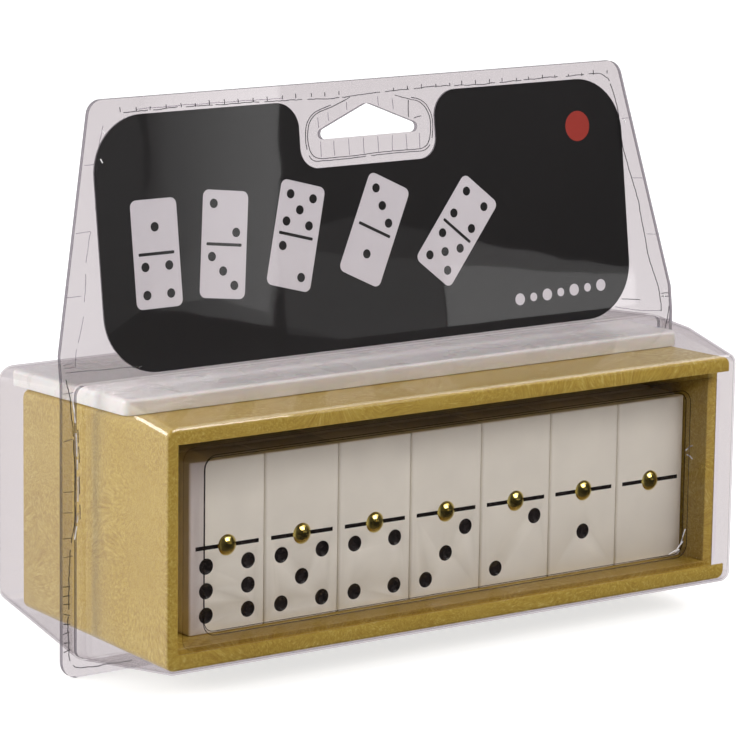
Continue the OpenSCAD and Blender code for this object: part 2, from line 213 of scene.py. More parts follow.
def tumbled_urea():
    """Pressed urea resin, tumbled to a gloss: warm white with faint mottling."""
    material, tree, surface = new_material("tumbled_urea")
    place = add(tree, "ShaderNodeTexCoord").outputs["Object"]
    mottle = add(tree, "ShaderNodeTexNoise", {"Vector": place, "Scale": 120.0, "Detail": 4.0}).outputs["Fac"]
    colour = add(
        tree, "ShaderNodeValToRGB", {"Fac": mottle}, [(0.3, "#EBE5D9"), (0.7, "#F3EDE0")]
    ).outputs["Color"]
    rough = add(
        tree, "ShaderNodeMapRange", {"Value": mottle, "To Min": 0.16, "To Max": 0.28}
    ).outputs["Result"]
    skin = add(
        tree, "ShaderNodeBsdfPrincipled", {"Base Color": colour, "Roughness": rough, "IOR": 1.55}
    )
    tree.links.new(skin.outputs["BSDF"], surface)
    return material


def pip_enamel():
    """Brushed-in enamel: near-black, glossy, with the slight ripple of a hand-filled dish."""
    material, tree, surface = new_material("pip_enamel")
    place = add(tree, "ShaderNodeTexCoord").outputs["Object"]
    ripple = add(tree, "ShaderNodeTexNoise", {"Vector": place, "Scale": 700.0, "Detail": 2.0}).outputs["Fac"]
    colour = add(
        tree, "ShaderNodeValToRGB", {"Fac": ripple}, [(0.35, "#1F1A1A"), (0.65, "#2A2423")]
    ).outputs["Color"]
    bump = add(
        tree, "ShaderNodeBump", {"Height": ripple, "Strength": 0.25, "Distance": 0.0001}
    ).outputs["Normal"]
    skin = add(
        tree,
        "ShaderNodeBsdfPrincipled",
        {"Base Color": colour, "Roughness": 0.16, "Normal": bump, "IOR": 1.5},
    )
    tree.links.new(skin.outputs["BSDF"], surface)
    return material


def turned_brass():
    """Brass turned and polished: mirror-like, with faint mottled wear."""
    material, tree, surface = new_material("turned_brass")
    place = add(tree, "ShaderNodeTexCoord").outputs["Object"]
    wear = add(tree, "ShaderNodeTexNoise", {"Vector": place, "Scale": 900.0, "Detail": 3.0}).outputs["Fac"]
    rough = add(
        tree, "ShaderNodeMapRange", {"Value": wear, "To Min": 0.1, "To Max": 0.24}
    ).outputs["Result"]
    colour = add(
        tree, "ShaderNodeValToRGB", {"Fac": wear}, [(0.3, "#DCC562"), (0.7, "#EEDD8E")]
    ).outputs["Color"]
    skin = add(
        tree, "ShaderNodeBsdfPrincipled", {"Base Color": colour, "Roughness": rough, "Metallic": 1.0}
    )
    tree.links.new(skin.outputs["BSDF"], surface)
    return material


def clear_sheet(name, tint, slant_tint, gloss=0.02, wave=0.3, face_on=0.045, grazing=0.22):
    """Thermoformed clear PET: it lets most light through face on and mirrors more at a slant. The formed
    parts are a little wavy, and the flat header is not."""
    material, tree, surface = new_material(name)
    place = add(tree, "ShaderNodeTexCoord").outputs["Object"]
    height = add(tree, "ShaderNodeSeparateXYZ", {0: place}).outputs["Z"]
    formed = add(
        tree,
        "ShaderNodeMapRange",
        {
            "Value": height,
            "From Min": FOLD_Z * MM,
            "From Max": (FOLD_Z + 2.0) * MM,
            "To Min": wave,
            "To Max": wave * 0.1,
        },
    ).outputs["Result"]
    waves = add(tree, "ShaderNodeTexNoise", {"Vector": place, "Scale": 28.0, "Detail": 2.0}).outputs["Fac"]
    bump = add(
        tree, "ShaderNodeBump", {"Height": waves, "Strength": formed, "Distance": 0.002}
    ).outputs["Normal"]
    facing = add(tree, "ShaderNodeLayerWeight", {"Blend": 0.5}).outputs["Facing"]
    colour = add(
        tree, "ShaderNodeValToRGB", {"Fac": facing}, [(0.45, tint), (1.0, slant_tint)]
    ).outputs["Color"]
    slant = add(tree, "ShaderNodeLayerWeight", {"Blend": 0.5, "Normal": bump}).outputs["Facing"]
    steep = add(tree, "ShaderNodeMath", {0: slant, 1: 5.0}, operation="POWER").outputs[0]
    share = add(
        tree, "ShaderNodeMapRange", {"Value": steep, "To Min": face_on, "To Max": grazing}
    ).outputs["Result"]
    through = add(tree, "ShaderNodeBsdfTransparent", {"Color": colour}).outputs[0]
    mirror = add(tree, "ShaderNodeBsdfGlossy", {"Roughness": gloss, "Normal": bump}).outputs[0]
    mixed = add(tree, "ShaderNodeMixShader", {0: share, 1: through, 2: mirror}).outputs[0]
    tree.links.new(mixed, surface)
    return material


def painted_glint_film():
    """Painted highlights on the clear PET: milky white strokes in patches, partly clear, with a faint glow of
    their own, where the folds and rims catch the light.
    """
    material, tree, surface = new_material("painted_glint_film")
    place = add(tree, "ShaderNodeTexCoord").outputs["Object"]
    cracks = add(tree, "ShaderNodeTexNoise", {"Vector": place, "Scale": 260.0, "Detail": 3.0}).outputs["Fac"]
    cover = add(
        tree,
        "ShaderNodeMapRange",
        {"Value": cracks, "From Min": 0.35, "From Max": 0.6, "To Min": 0.25, "To Max": 0.95},
    ).outputs["Result"]
    through = add(tree, "ShaderNodeBsdfTransparent", {"Color": "#F4F2F5"}).outputs[0]
    milk = add(
        tree,
        "ShaderNodeBsdfPrincipled",
        {"Base Color": "#F6F4F5", "Roughness": 0.25, "Emission Color": "#FFFFFF", "Emission Strength": 0.1},
    ).outputs[0]
    mixed = add(tree, "ShaderNodeMixShader", {0: cover, 1: through, 2: milk}).outputs[0]
    tree.links.new(mixed, surface)
    return material


def varnished_card(name, dark, light, rough):
    """Solid bleached board, printed all over and varnished: an even colour with a faint tooth."""
    material, tree, surface = new_material(name)
    place = add(tree, "ShaderNodeTexCoord").outputs["Object"]
    tooth = add(tree, "ShaderNodeTexNoise", {"Vector": place, "Scale": 900.0, "Detail": 2.0}).outputs["Fac"]
    clouds = add(tree, "ShaderNodeTexNoise", {"Vector": place, "Scale": 18.0, "Detail": 2.0}).outputs["Fac"]
    mixed = add(tree, "ShaderNodeMix", {0: 0.7, 2: tooth, 3: clouds}).outputs[0]
    colour = add(tree, "ShaderNodeValToRGB", {"Fac": mixed}, [(0.3, dark), (0.7, light)]).outputs["Color"]
    bump = add(
        tree, "ShaderNodeBump", {"Height": tooth, "Strength": 0.06, "Distance": 0.0001}
    ).outputs["Normal"]
    skin = add(
        tree,
        "ShaderNodeBsdfPrincipled",
        {"Base Color": colour, "Roughness": rough, "Normal": bump, "IOR": 1.45},
    )
    tree.links.new(skin.outputs["BSDF"], surface)
    return material


OCHRE = injection_moulded_ochre()
WHITE_SHEET = extruded_white_sheet()
UREA = tumbled_urea()
ENAMEL = pip_enamel()
BRASS = turned_brass()
CLEAR = clear_sheet("formed_clear_sheet", "#FBFAFA", "#DAD6D8")
POCKET_WALL = clear_sheet(
    "drawn_thin_pocket_wall", "#F6F4F6", "#DAD6DB", gloss=0.1, face_on=0.02, grazing=0.05
)
CUT_EDGE = clear_sheet("cut_edge_of_sheet", "#A19DA3", "#7C787E", gloss=0.2)
WELD = clear_sheet("knurled_weld_line", "#8F8A91", "#5E5A60", gloss=0.12)
FAINT_WELD = clear_sheet("shallow_weld_line", "#D9D5DB", "#A09CA4", gloss=0.12)
# Painted highlights on the film: milky strokes with a faint glow.
PAINTED_GLINT = painted_glint_film()
INK_BLACK = varnished_card("black_varnished_card", "#0E0B0C", "#141112", 0.55)
BOARD_WHITE = varnished_card("bleached_board", "#DCD8DA", "#E4E0E2", 0.7)
INK_WHITE = varnished_card("white_ink", "#DAD5DB", "#E3DFE4", 0.5)
INK_RED = varnished_card("red_ink", "#9E2F26", "#AB382C", 0.5)


# ---- Shaping ----


def only(piece):
    """Makes one piece the selected and active one."""
    bpy.ops.object.select_all(action="DESELECT")
    piece.select_set(True)
    bpy.context.view_layer.objects.active = piece


def edit(piece, mode="FACE"):
    """Opens a piece for editing with nothing selected, and gives its mesh."""
    only(piece)
    bpy.ops.object.mode_set(mode="EDIT")
    bpy.ops.mesh.select_mode(type=mode)
    bpy.ops.mesh.select_all(action="DESELECT")
    return bmesh.from_edit_mesh(piece.data)


def close(piece):
    """Leaves edit mode."""
    bpy.ops.object.mode_set(mode="OBJECT")


FLAT = math.radians(0.3)
SAME_PLACE = 2e-6


def merged_copy(node, name):
    """A piece of its own from a CAD node, with the loose triangles joined into whole faces."""
    piece = bpy.data.objects.new(name, frame["nodes"][node].data.copy())
    bpy.context.scene.collection.objects.link(piece)
    edit(piece)
    bpy.ops.mesh.select_all(action="SELECT")
    bpy.ops.mesh.remove_doubles(threshold=SAME_PLACE)
    bpy.ops.mesh.dissolve_limited(angle_limit=FLAT)
    close(piece)
    if piece.data.has_custom_normals:
        bpy.ops.mesh.customdata_custom_splitnormals_clear()
    piece.data.materials.clear()
    return piece


def round_edges(piece, chosen, width, segments=3, sharp=40.0):
    """Rounds the sharp outward edges whose middle passes chosen(point in mm)."""
    mesh = edit(piece, "EDGE")
    for edge in mesh.edges:
        if edge.is_convex and edge.calc_face_angle() > math.radians(sharp):
            middle = (edge.verts[0].co + edge.verts[1].co) / (2 * MM)
            if chosen(middle):
                edge.select_set(True)
    bmesh.update_edit_mesh(piece.data)
    bpy.ops.mesh.bevel(offset=width * MM, segments=segments, affect="EDGES", clamp_overlap=False)
    close(piece)


def smooth(piece, angle=35.0):
    """Shades a piece smooth, up to an angle between faces."""
    only(piece)
    bpy.ops.object.shade_smooth_by_angle(angle=math.radians(angle))


def paint(piece, base, other=None, chosen=None):
    """Gives a piece its finish, and a second finish to the faces that pass chosen(face)."""
    piece.data.materials.clear()
    piece.data.materials.append(base)
    if other:
        piece.data.materials.append(other)
        for face in piece.data.polygons:
            face.material_index = 1 if chosen(face) else 0


def stand_in(piece, node, body):
    """Puts a piece on its body and hides the CAD node whose place it takes."""
    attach(piece, body)
    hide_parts(node)


BODY_OF = {node: body for body, nodes in frame["record"]["behaviour"]["bodies"].items() for node in nodes}


# ---- Tiles ----


def is_recess(piece_low, piece_high):
    """Tells the faces of a tile's pips and bar from the rest of its front."""

    def check(face):
        centre = face.center
        return (
            0.005 * MM < centre.y - piece_low.y < 0.7 * MM
            and piece_low.x + 1.2 * MM < centre.x < piece_high.x - 1.2 * MM
            and piece_low.z + 1.2 * MM < centre.z < piece_high.z - 1.2 * MM
        )

    return check


for node in sorted(name for name in frame["nodes"] if name.startswith("tile_")):
    low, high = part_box(node)
    tile = merged_copy(node, "ivory_" + node)
    round_edges(
        tile,
        lambda p: min(abs(p.z - low.z / MM), abs(p.z - high.z / MM)) < 0.01,
        0.5,
    )
    smooth(tile)
    paint(tile, UREA, ENAMEL, is_recess(low, high))
    stand_in(tile, node, BODY_OF[node])


# ---- Spinner pins ----

HEAD_R = 3.1
HEAD_H = 1.6
SHANK_R = 1.2
SHANK_L = 7.0


def brass_pin():
    """One pin with the underside of its domed head on Y = 0 and its shank towards +Y."""
    dome_r = (HEAD_R**2 + HEAD_H**2) / (2 * HEAD_H)
    bpy.ops.mesh.primitive_uv_sphere_add(
        segments=48,
        ring_count=36,
        radius=dome_r * MM,
        location=(0, (dome_r - HEAD_H) * MM, 0),
        rotation=(math.pi / 2, 0, 0),
    )
    pin = bpy.context.object
    bpy.ops.object.transform_apply(location=True, rotation=True, scale=True)
    bpy.ops.object.mode_set(mode="EDIT")
    bpy.ops.mesh.select_all(action="SELECT")
    bpy.ops.mesh.bisect(plane_co=(0, 0, 0), plane_no=(0, 1, 0), use_fill=True, clear_outer=True)
    bpy.ops.object.mode_set(mode="OBJECT")
    mesh = edit(pin)
    for face in mesh.faces:
        face.select_set(face.normal.y > 0.99 and face.calc_center_median().y > -0.01 * MM)
    bmesh.update_edit_mesh(pin.data)
    bpy.ops.mesh.inset(thickness=(HEAD_R - SHANK_R) * MM)
    bpy.ops.mesh.extrude_region_move(TRANSFORM_OT_translate={"value": (0, SHANK_L * MM, 0)})
    close(pin)
    return pin


pin_pattern = brass_pin()
for layer in range(1, 5):
    node = f"spinner_pins_{layer}"
    low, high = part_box(node)
    copies = []
    for column in range(7):
        x = low.x + HEAD_R * MM + column * (high.x - low.x - 2 * HEAD_R * MM) / 6
        copy = bpy.data.objects.new("pin", pin_pattern.data.copy())
        copy.data.transform(Matrix.Translation((x, low.y + HEAD_H * MM, (low.z + high.z) / 2)))
        bpy.context.scene.collection.objects.link(copy)
        copies.append(copy)
    only(copies[0])
    for copy in copies:
        copy.select_set(True)
    bpy.ops.object.join()
    pins = bpy.context.object
    pins.name = f"brass_pins_layer_{layer}"
    smooth(pins, 50.0)
    paint(pins, BRASS)
    stand_in(pins, node, BODY_OF[node])
bpy.data.objects.remove(pin_pattern)


# ---- Storage box and lid ----


def block(low, high):
    """A block between two corners, in mm, ready to be shaped."""
    low, high = Vector(low), Vector(high)
    bpy.ops.mesh.primitive_cube_add(size=1.0, location=(low + high) / 2 * MM, scale=(high - low) * MM)
    made = bpy.context.object
    bpy.ops.object.transform_apply(location=True, rotation=True, scale=True)
    return made


def cut(piece, tool):
    """Cuts a tool's shape out of a piece."""
    only(piece)
    cutter = piece.modifiers.new("cut", "BOOLEAN")
    cutter.operation = "DIFFERENCE"
    cutter.solver = "EXACT"
    cutter.object = tool
    bpy.ops.object.modifier_apply(modifier="cut")
    bpy.data.objects.remove(tool)


# The moulding's walls, drafts, lip and groove, in mm. These and the lid's sizes are typed here as they
# stand in the CAD, so a change there is made here too.
LONG_WALL = 4.5
END_WALL = 3.6
BACK_WALL = 3.5
DRAFT = 1.2
TOP_DRAFT = 2.2
LIP = 0.9
GROOVE = 1.8
GROOVE_W = 4.9

low, high = (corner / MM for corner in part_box("storage_box"))
box = block(low, high)
box.name = "ochre_storage_box"
mesh = edit(box)
for face in mesh.faces:
    face.select_set(face.normal.y > 0.9)
bmesh.update_edit_mesh(box.data)
size = high - low
bpy.ops.transform.resize(
    value=(1 - 2 * DRAFT / size.x, 1, 1 - (DRAFT + TOP_DRAFT) / size.z),
    center_override=Vector(((low.x + high.x) / 2, high.y, (low.z + high.z) / 2)) * MM,
)
bpy.ops.transform.translate(value=(0, 0, (DRAFT - TOP_DRAFT) / 2 * MM))
close(box)
# The long edges, then the well rounded front rim, then the back's edges.
round_edges(box, lambda p: abs(p.y - (low.y + high.y) / 2) < 1.0, 2.5, 7)
round_edges(box, lambda p: abs(p.y - low.y) < 0.02, 0.8, 4)
round_edges(box, lambda p: abs(p.y - high.y) < 0.02, 0.4, 2)
inner_low = Vector((low.x + END_WALL, low.y - 1, low.z + LONG_WALL))
inner_high = Vector((high.x - END_WALL, high.y - BACK_WALL, high.z - LONG_WALL))
cut(box, block(inner_low, inner_high))
groove_y = low.y + LIP, low.y + LIP + GROOVE_W
cut(
    box,
    block(
        (inner_low.x - GROOVE, groove_y[0], inner_low.z - GROOVE),
        (high.x + 1, groove_y[1], inner_high.z + GROOVE),
    ),
)
# The right end wall stands back, so that the lid can slide in over it.
cut(box, block((inner_high.x - 0.05, low.y - 1, inner_low.z), (high.x + 1, groove_y[1], inner_high.z)))
# The outer faces are parted where the mouth ends, so that none of them is notched.
for y in (groove_y[0], groove_y[1]):
    edit(box)
    bpy.ops.mesh.select_all(action="SELECT")
    bpy.ops.mesh.bisect(plane_co=(0, y * MM, 0), plane_no=(0, 1, 0), threshold=1e-6)
    close(box)
round_edges(box, lambda p: True, 0.25, 2, 60.0)
smooth(box)
paint(box, OCHRE)
stand_in(box, "storage_box", "box")

LID_L, LID_W, LID_T = 199.05, 62.8, 4.7
LID_SETBACK = 24.0
LID_CLEAR = 0.05

lid = block((-LID_L / 2, LID_SETBACK, 0), (LID_L / 2, LID_SETBACK + LID_W, LID_T))
lid.name = "white_sliding_lid"
# The upright corner edges, the well rounded top rim, then the underside.
round_edges(lid, lambda p: abs(p.z - LID_T / 2) < 0.1, 2.5, 8)
round_edges(lid, lambda p: abs(p.z - LID_T) < 0.02, 1.2, 5)
round_edges(lid, lambda p: p.z < 0.02, 0.4, 2)
edit(lid)
bpy.ops.mesh.select_all(action="SELECT")
bpy.ops.transform.rotate(
    value=math.atan(TOP_DRAFT / size.y), orient_axis="X", center_override=(0, 0, 0)
)
bpy.ops.transform.translate(value=Vector((0, low.y, high.z + LID_CLEAR)) * MM)
close(lid)
smooth(lid)
paint(lid, WHITE_SHEET)
stand_in(lid, "sliding_lid", "lid")


# ---- Clear shells ----


def is_cut_edge(face):
    """The thin faces along the sheets' cut outline."""
    centre = face.center / MM
    plane = FLANGE_Y + max(0.0, centre.z - FOLD_Z) * math.tan(LEAN)
    outside = abs(centre.x) > 92.0 or centre.z < 1.0 or centre.z > FOLD_Z + 50
    return abs(face.normal.y) < 0.3 and outside and abs(centre.y - plane) < 0.9


POCKET_LOW = Vector((-97.1, -45.3, 14.9))
POCKET_HIGH = Vector((95.7, -31.0, 73.4))


def is_pocket_wall(face):
    """The four walls of the pocket, between the front and the pocket's floor."""
    centre = face.center / MM
    inside = all(l - 0.1 < c < h + 0.1 for l, c, h in zip(POCKET_LOW, centre, POCKET_HIGH))
    return inside and abs(face.normal.y) < 0.9


for node, name, body in (
    ("front_shell", "clear_front_shell", "front_cover"),
    ("rear_shell", "clear_rear_shell", "rear_cover"),
):
    shell = merged_copy(node, name)
    smooth(shell, 40.0)
    paint(shell, CLEAR, CUT_EDGE, is_cut_edge)
    if node == "front_shell":
        shell.data.materials.append(POCKET_WALL)
        for face in shell.data.polygons:
            if is_pocket_wall(face):
                face.material_index = 2
    stand_in(shell, node, body)


# ---- Weld lines ----

jitter = random.Random(11)


def walk(corners, step=1.0, soften=3):
    """Points about every step mm along straight runs between corners, with the corners eased."""
    points = []
    for (x0, z0), (x1, z1) in zip(corners, corners[1:]):
        count = max(1, round(math.hypot(x1 - x0, z1 - z0) / step))
        points += [(x0 + (x1 - x0) * i / count, z0 + (z1 - z0) * i / count) for i in range(count)]
    points.append(corners[-1])
    eased = []
    for i in range(len(points)):
        near = points[max(0, i - soften) : i + soften + 1]
        if i < soften or i >= len(points) - soften:
            near = [points[i]]
        eased.append((sum(p[0] for p in near) / len(near), sum(p[1] for p in near) / len(near)))
    return eased


def waver(points, reach):
    """Moves the points about by up to reach mm, slowly along the line."""
    drift_x = drift_z = 0.0
    moved = []
    for x, z in points:
        drift_x = 0.6 * drift_x + jitter.uniform(-reach, reach)
        drift_z = 0.6 * drift_z + jitter.uniform(-reach, reach)
        moved.append((x + drift_x, z + drift_z))
    return moved


def broken(points, longest, gap):
    """Splits a line into runs of up to longest points, with gaps between them."""
    runs, i = [], 0
    while i < len(points) - 2:
        length = jitter.randint(longest // 2, longest)
        runs.append(points[i : i + length])
        i += length + jitter.randint(0, gap)
    return [run for run in runs if len(run) > 1]


def beads(name, lines, radius, finish):
    """Thin ridges along the lines, on the front sheet's face, as one piece of the front cover. A point
    of a line is (x, height), on the flange and header, or (x, y, z) in mm."""
    curve = bpy.data.curves.new(name, "CURVE")
    curve.dimensions = "3D"
    curve.bevel_depth = radius * MM
    curve.bevel_resolution = 1
    curve.use_fill_caps = True
    for line in lines:
        spline = curve.splines.new("POLY")
        spline.points.add(len(line) - 1)
        for point, spot in zip(spline.points, line):
            place = Vector(spot) * MM if len(spot) == 3 else sheet_point(*spot, SHEET_FRONT)
            point.co = (*place, 1.0)
    piece = bpy.data.objects.new(name, curve)
    bpy.context.scene.collection.objects.link(piece)
    only(piece)
    bpy.ops.object.convert(target="MESH")
    piece = bpy.context.object
    piece.name = name
    smooth(piece, 60.0)
    paint(piece, finish)
    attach(piece, "front_cover")


def up(points):
    """Points given from the fold up, as heights."""
    return [(x, FOLD_Z + h) for x, h in points]


def crossing(x0, z0, x1, z1, askew=0.15):
    """A short line from one point to another, a little askew."""
    return [
        (x0 + jitter.uniform(-askew, askew), z0 + jitter.uniform(-askew, askew)),
        ((x0 + x1) / 2 + jitter.uniform(-askew, askew), (z0 + z1) / 2),
        (x1 + jitter.uniform(-askew, askew), z1 + jitter.uniform(-askew, askew)),
    ]


strong, faint, white = [], [], []

# Along the header's top the weld is a torn dark line with the knurl's teeth over it.
top_line = [(-84, 74.4), (-65, 74.8), (-38, 74.4), (-17, 73.9), (-7, 73.8), (6.5, 74.4), (23, 74.9)]
top_line += [(41, 74.5), (72, 74.8), (86, 75.0), (90, 74.3), (91, 71.4)]
strong += broken(waver(walk(up(top_line)), 0.13), 16, 2)
faint.append(waver(walk(up([(-80, 75.2), (-50, 75.2), (-30, 74.9)])), 0.1))
for step in range(-17, 19):
    x = step * 5.0 + jitter.uniform(-0.3, 0.3)
    tooth = crossing(x, FOLD_Z + 74.6, x, FOLD_Z + 75.2 + jitter.uniform(0.2, 0.8), 0.1)
    if abs(x) > 9.0:
        strong.append(tooth)

# Down the header's right side one dark wavering line; down its left side only traces of it.
side_line = [(91, 71.4), (93.2, 64.8), (94.1, 60.2), (94.5, 52.5), (95.8, 46.9), (97.7, 40.9)]
side_line += [(99.3, 36.1), (100.1, 30.5), (101.1, 22.7), (102.6, 15.8), (104.2, 11.3), (105.5, 7.8)]
side_line += [(106, 3.7), (105.7, 0.4)]
strong.append(waver(walk(up(side_line)), 0.12))
left_line = [(-x, h) for x, h in side_line]
faint += broken(waver(walk(up(left_line)), 0.12), 10, 5)
# Each mark's place and length.
CROSS_MARKS = [(94.9, 60.7, 3.0), (97.6, 42.1, 4.6), (102.0, 24.4, 5.0)]
CROSS_MARKS += [(106.3, 5.9, 3.0), (106.3, 4.8, 3.0)]
for side in (-1, 1):
    for x, h, far in CROSS_MARKS:
        mark = crossing(side * x, FOLD_Z + h, side * (x + far), FOLD_Z + h - 0.2)
        (strong if side > 0 and h < 7 else faint).append(mark)
strong.append(waver(walk(up([(90.7, 5.5), (94.0, 5.2), (97.7, 4.6)])), 0.05))

# Two lines round the hang hole, with the knurl's rungs between them and the hole.
ring = [(-6.1, 73.7), (-12.7, 71.3), (-17.8, 70.1), (-20.4, 68.6), (-22.0, 65.2), (-22.0, 60.9), (-20.9, 57.3)]
ring += [(-19.6, 56.6), (-7.5, 56.6), (7, 57.0), (19.7, 56.8), (21.8, 59.2), (22.6, 65.1), (21.7, 68.1)]
ring += [(19.0, 70.9), (15.4, 71.7), (10.1, 73.3)]
strong.append(waver(walk(up(ring), 1.0, 2), 0.05))
outer_ring = [(x * 1.035, 65.0 + (h - 65.0) * 1.08) for x, h in ring[1:-1]]
strong += broken(waver(walk(up(outer_ring), 1.0, 2), 0.05), 30, 1)
for x in (-17.5, -12.9, -7.6, -2.4, 2.8, 8.0, 13.2, 18.0):
    faint.append(crossing(x, FOLD_Z + 57.0, x + 0.1, FOLD_Z + 61.6))
upper_rungs = [(-7.4, 72.4, 70.0), (-14.2, 69.9, 67.2), (-17.9, 68.4, 65.5)]
upper_rungs += [(3.8, 73.4, 70.5), (9, 72.2, 69.3)]
for x, z0, z1 in upper_rungs:
    faint.append(crossing(x, FOLD_Z + z0, x, FOLD_Z + z1))
strong.append(crossing(14.7, FOLD_Z + 71.5, 14.6, FOLD_Z + 66.6))
strong.append(crossing(16.6, FOLD_Z + 66.2, 19.0, FOLD_Z + 66.6))

# Down the flange's sides: a wavering line, with a painted highlight beside it as a milky streak, and small
# bricks near the foot.
edge_line = [(-108.9, 86.5), (-107.8, 80.7), (-106.7, 71.9), (-106.2, 60.4), (-106.0, 46.0), (-107.2, 40.3)]
edge_line += [(-108.2, 34.7), (-108.2, 23.1), (-108.6, 14.4), (-108.2, 5.0), (-106.4, 2.6), (-98.0, 2.4)]
for side in (1, -1):
    line = [(side * x, z) for x, z in edge_line]
    strong += broken(waver(walk(line), 0.14), 22, 1)
    inner = [(side * (x + 0.9), z) for x, z in edge_line[1:6]]
    white += broken(waver(walk(inner), 0.05), 8, 2)
    strong += broken(waver(walk([(x + side * 0.6, z) for x, z in inner[1:4]]), 0.06), 6, 4)
    for z in (27.0, 24.4, 22.0, 19.1, 16.2, 13.4, 10.7, 8.0):
        strong.append(crossing(side * -110.0, z, side * -107.9, z + jitter.uniform(-0.5, 0.5)))
    for z in (82.5, 69.0, 54.5, 48.5, 41.0, 35.5):
        faint.append(crossing(side * -110.0, z, side * -106.8, z + jitter.uniform(-0.4, 0.4)))
strong += broken(waver(walk([(-98.0, 2.4), (98.0, 2.4)]), 0.1), 14, 3)

# The fold under the header, where the film was creased, and painted glints as milky specks.
faint.append(waver(walk([(-109.0, 88.4), (-96.0, 88.0), (-84.0, 87.6)]), 0.08))
faint.append(waver(walk([(88.0, 88.3), (97.7, 86.0), (106.0, 85.4)]), 0.08))
for x, h in ((-91.5, 70.0), (-92.6, 62.0), (107.0, 5.4), (95.5, 60.5)):
    white.append(crossing(x, FOLD_Z + h, x + 0.5, FOLD_Z + h - 1.1, 0.1))

# The pocket's floor: its rim is drawn as two fine dark lines, painted shade for the film's bends.
def pocket_rim(grow, y):
    """The pocket floor's outline, grown by so many mm, at a depth."""
    x0, x1, z0, z1 = POCKET_LOW.x + 15.5 - grow, 94.5 + grow, 14.9 - grow, 66.8 + grow
    r = 4.0 + grow
    rim = []
    corners = (x1 - r, z1 - r, 0), (x0 + r, z1 - r, 90), (x0 + r, z0 + r, 180), (x1 - r, z0 + r, 270)
    for cx, cz, start in corners:
        for i in range(7):
            a = math.radians(start + 15 * i)
            rim.append((cx + r * math.cos(a), y, cz + r * math.sin(a)))
    return rim + [rim[0]]


pocket_lines = [pocket_rim(-0.9, -31.6), pocket_rim(0.0, -32.6)]
# Painted glints at the rim's right end, as milky strokes: each one's start and reach.
GLINT_STROKES = (
    (93.5, 48.0, 2.6, 1.2),
    (94.0, 46.6, 2.2, -1.6),
    (88.0, 16.2, 4.0, 1.0),
    (92.6, 19.0, 1.6, 4.4),
    (90.6, 16.6, 2.8, 3.0),
)
for x, z, dx, dz in GLINT_STROKES:
    white.append([(x, -32.2, z), (x + dx / 2, -32.2, z + dz / 2 + 0.3), (x + dx, -32.2, z + dz)])

beads("weld_border_lines", strong, 0.13, WELD)
beads("weld_cross_lines", faint, 0.1, FAINT_WELD)
# Painted highlights: milky streaks, specks and strokes that stand in for glints on the film.
beads("painted_glint_streaks", white, 0.2, PAINTED_GLINT)
# The pocket's rim lines, in the weld lines' dark finish: painted shade for the film's bends.
beads("pocket_rim_lines", pocket_lines, 0.12, WELD)


# ---- Header card ----

card_normal = Vector((0, -math.cos(LEAN), math.sin(LEAN)))
card = merged_copy("header_card", "black_header_card")
smooth(card, 30.0)
paint(card, INK_BLACK, BOARD_WHITE, lambda face: face.normal.dot(card_normal) < 0.9)
stand_in(card, "header_card", "rear_cover")


INK = 0.012
CARD_PLACE = Matrix.Translation((0, FLANGE_Y * MM, FOLD_Z * MM)) @ Matrix.Rotation(math.pi / 2 - LEAN, 4, "X")


def ink_patch(x, h, lift, width, height=0.0, corner=0.0, turn=0.0):
    """One printed patch on the card, as a film of ink: a dot, or a plate with rounded corners."""
    if height:
        bpy.ops.mesh.primitive_plane_add(size=1.0)
    else:
        bpy.ops.mesh.primitive_circle_add(vertices=32, radius=width / 2 * MM, fill_type="NGON")
    patch = bpy.context.object
    bpy.ops.object.mode_set(mode="EDIT")
    bpy.ops.mesh.select_all(action="SELECT")
    if height:
        bpy.ops.transform.resize(value=(width * MM, height * MM, 1.0))
        bpy.ops.mesh.bevel(offset=corner * MM, segments=6, affect="VERTICES")
        bpy.ops.mesh.select_all(action="SELECT")
    bpy.ops.mesh.extrude_region_move(TRANSFORM_OT_translate={"value": (0, 0, INK * MM)})
    bpy.ops.mesh.select_all(action="SELECT")
    bpy.ops.mesh.normals_make_consistent(inside=False)
    bpy.ops.object.mode_set(mode="OBJECT")
    spot = Matrix.Translation(Vector((x, h, lift - CARD_FRONT)) * MM)
    patch.data.transform(CARD_PLACE @ spot @ Matrix.Rotation(math.radians(turn), 4, "Z"))
    return patch


def print_piece(name, patches, finish):
    """All the patches of one ink as one piece on the card."""
    only(patches[0])
    for patch in patches:
        patch.select_set(True)
    bpy.ops.object.join()
    piece = bpy.context.object
    piece.name = name
    paint(piece, finish)
    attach(piece, "rear_cover")


PIP_PLACES = {
    1: [(0, 0)],
    2: [(-1, 1), (1, -1)],
    3: [(-1, 1), (0, 0), (1, -1)],
    4: [(-1, 1), (1, 1), (-1, -1), (1, -1)],
    5: [(-1, 1), (1, 1), (0, 0), (-1, -1), (1, -1)],
}
in_white, in_black = [], []
# Five dominoes toppling in a row.
for (x, h, angle), (upper, lower) in zip(
    ((-76, 34, 0), (-53, 34.6, -7), (-28, 35, -15), (0, 34.4, -26), (30, 31.6, -40)),
    ((1, 4), (2, 3), (5, 2), (3, 1), (4, 5)),
):
    in_white.append(ink_patch(x, h, 0.0, 15.5, 31.0, 2.0, angle))
    in_black.append(ink_patch(x, h, INK, 12.0, 0.9, 0.3, angle))
    c, s = math.cos(math.radians(angle)), math.sin(math.radians(angle))
    for pips, side in ((upper, 1), (lower, -1)):
        for u, v in PIP_PLACES[pips]:
            across, along = u * 4.0, side * 7.6 + v * 4.0
            in_black.append(ink_patch(x + c * across - s * along, h + s * across + c * along, INK, 2.7))
# A row of seven dots in the lower right corner.
for i in range(7):
    in_white.append(ink_patch(52 + i * 5.2, 9.0 + 0.25 * i, 0.0, 2.6 if i % 2 else 3.6))
print_piece("print_in_white", in_white, INK_WHITE)
print_piece("print_in_black", in_black, INK_BLACK)
print_piece("print_in_red", [ink_patch(77.8, 59.5, 0.0, 9.2)], INK_RED)


# ---- Stage ----

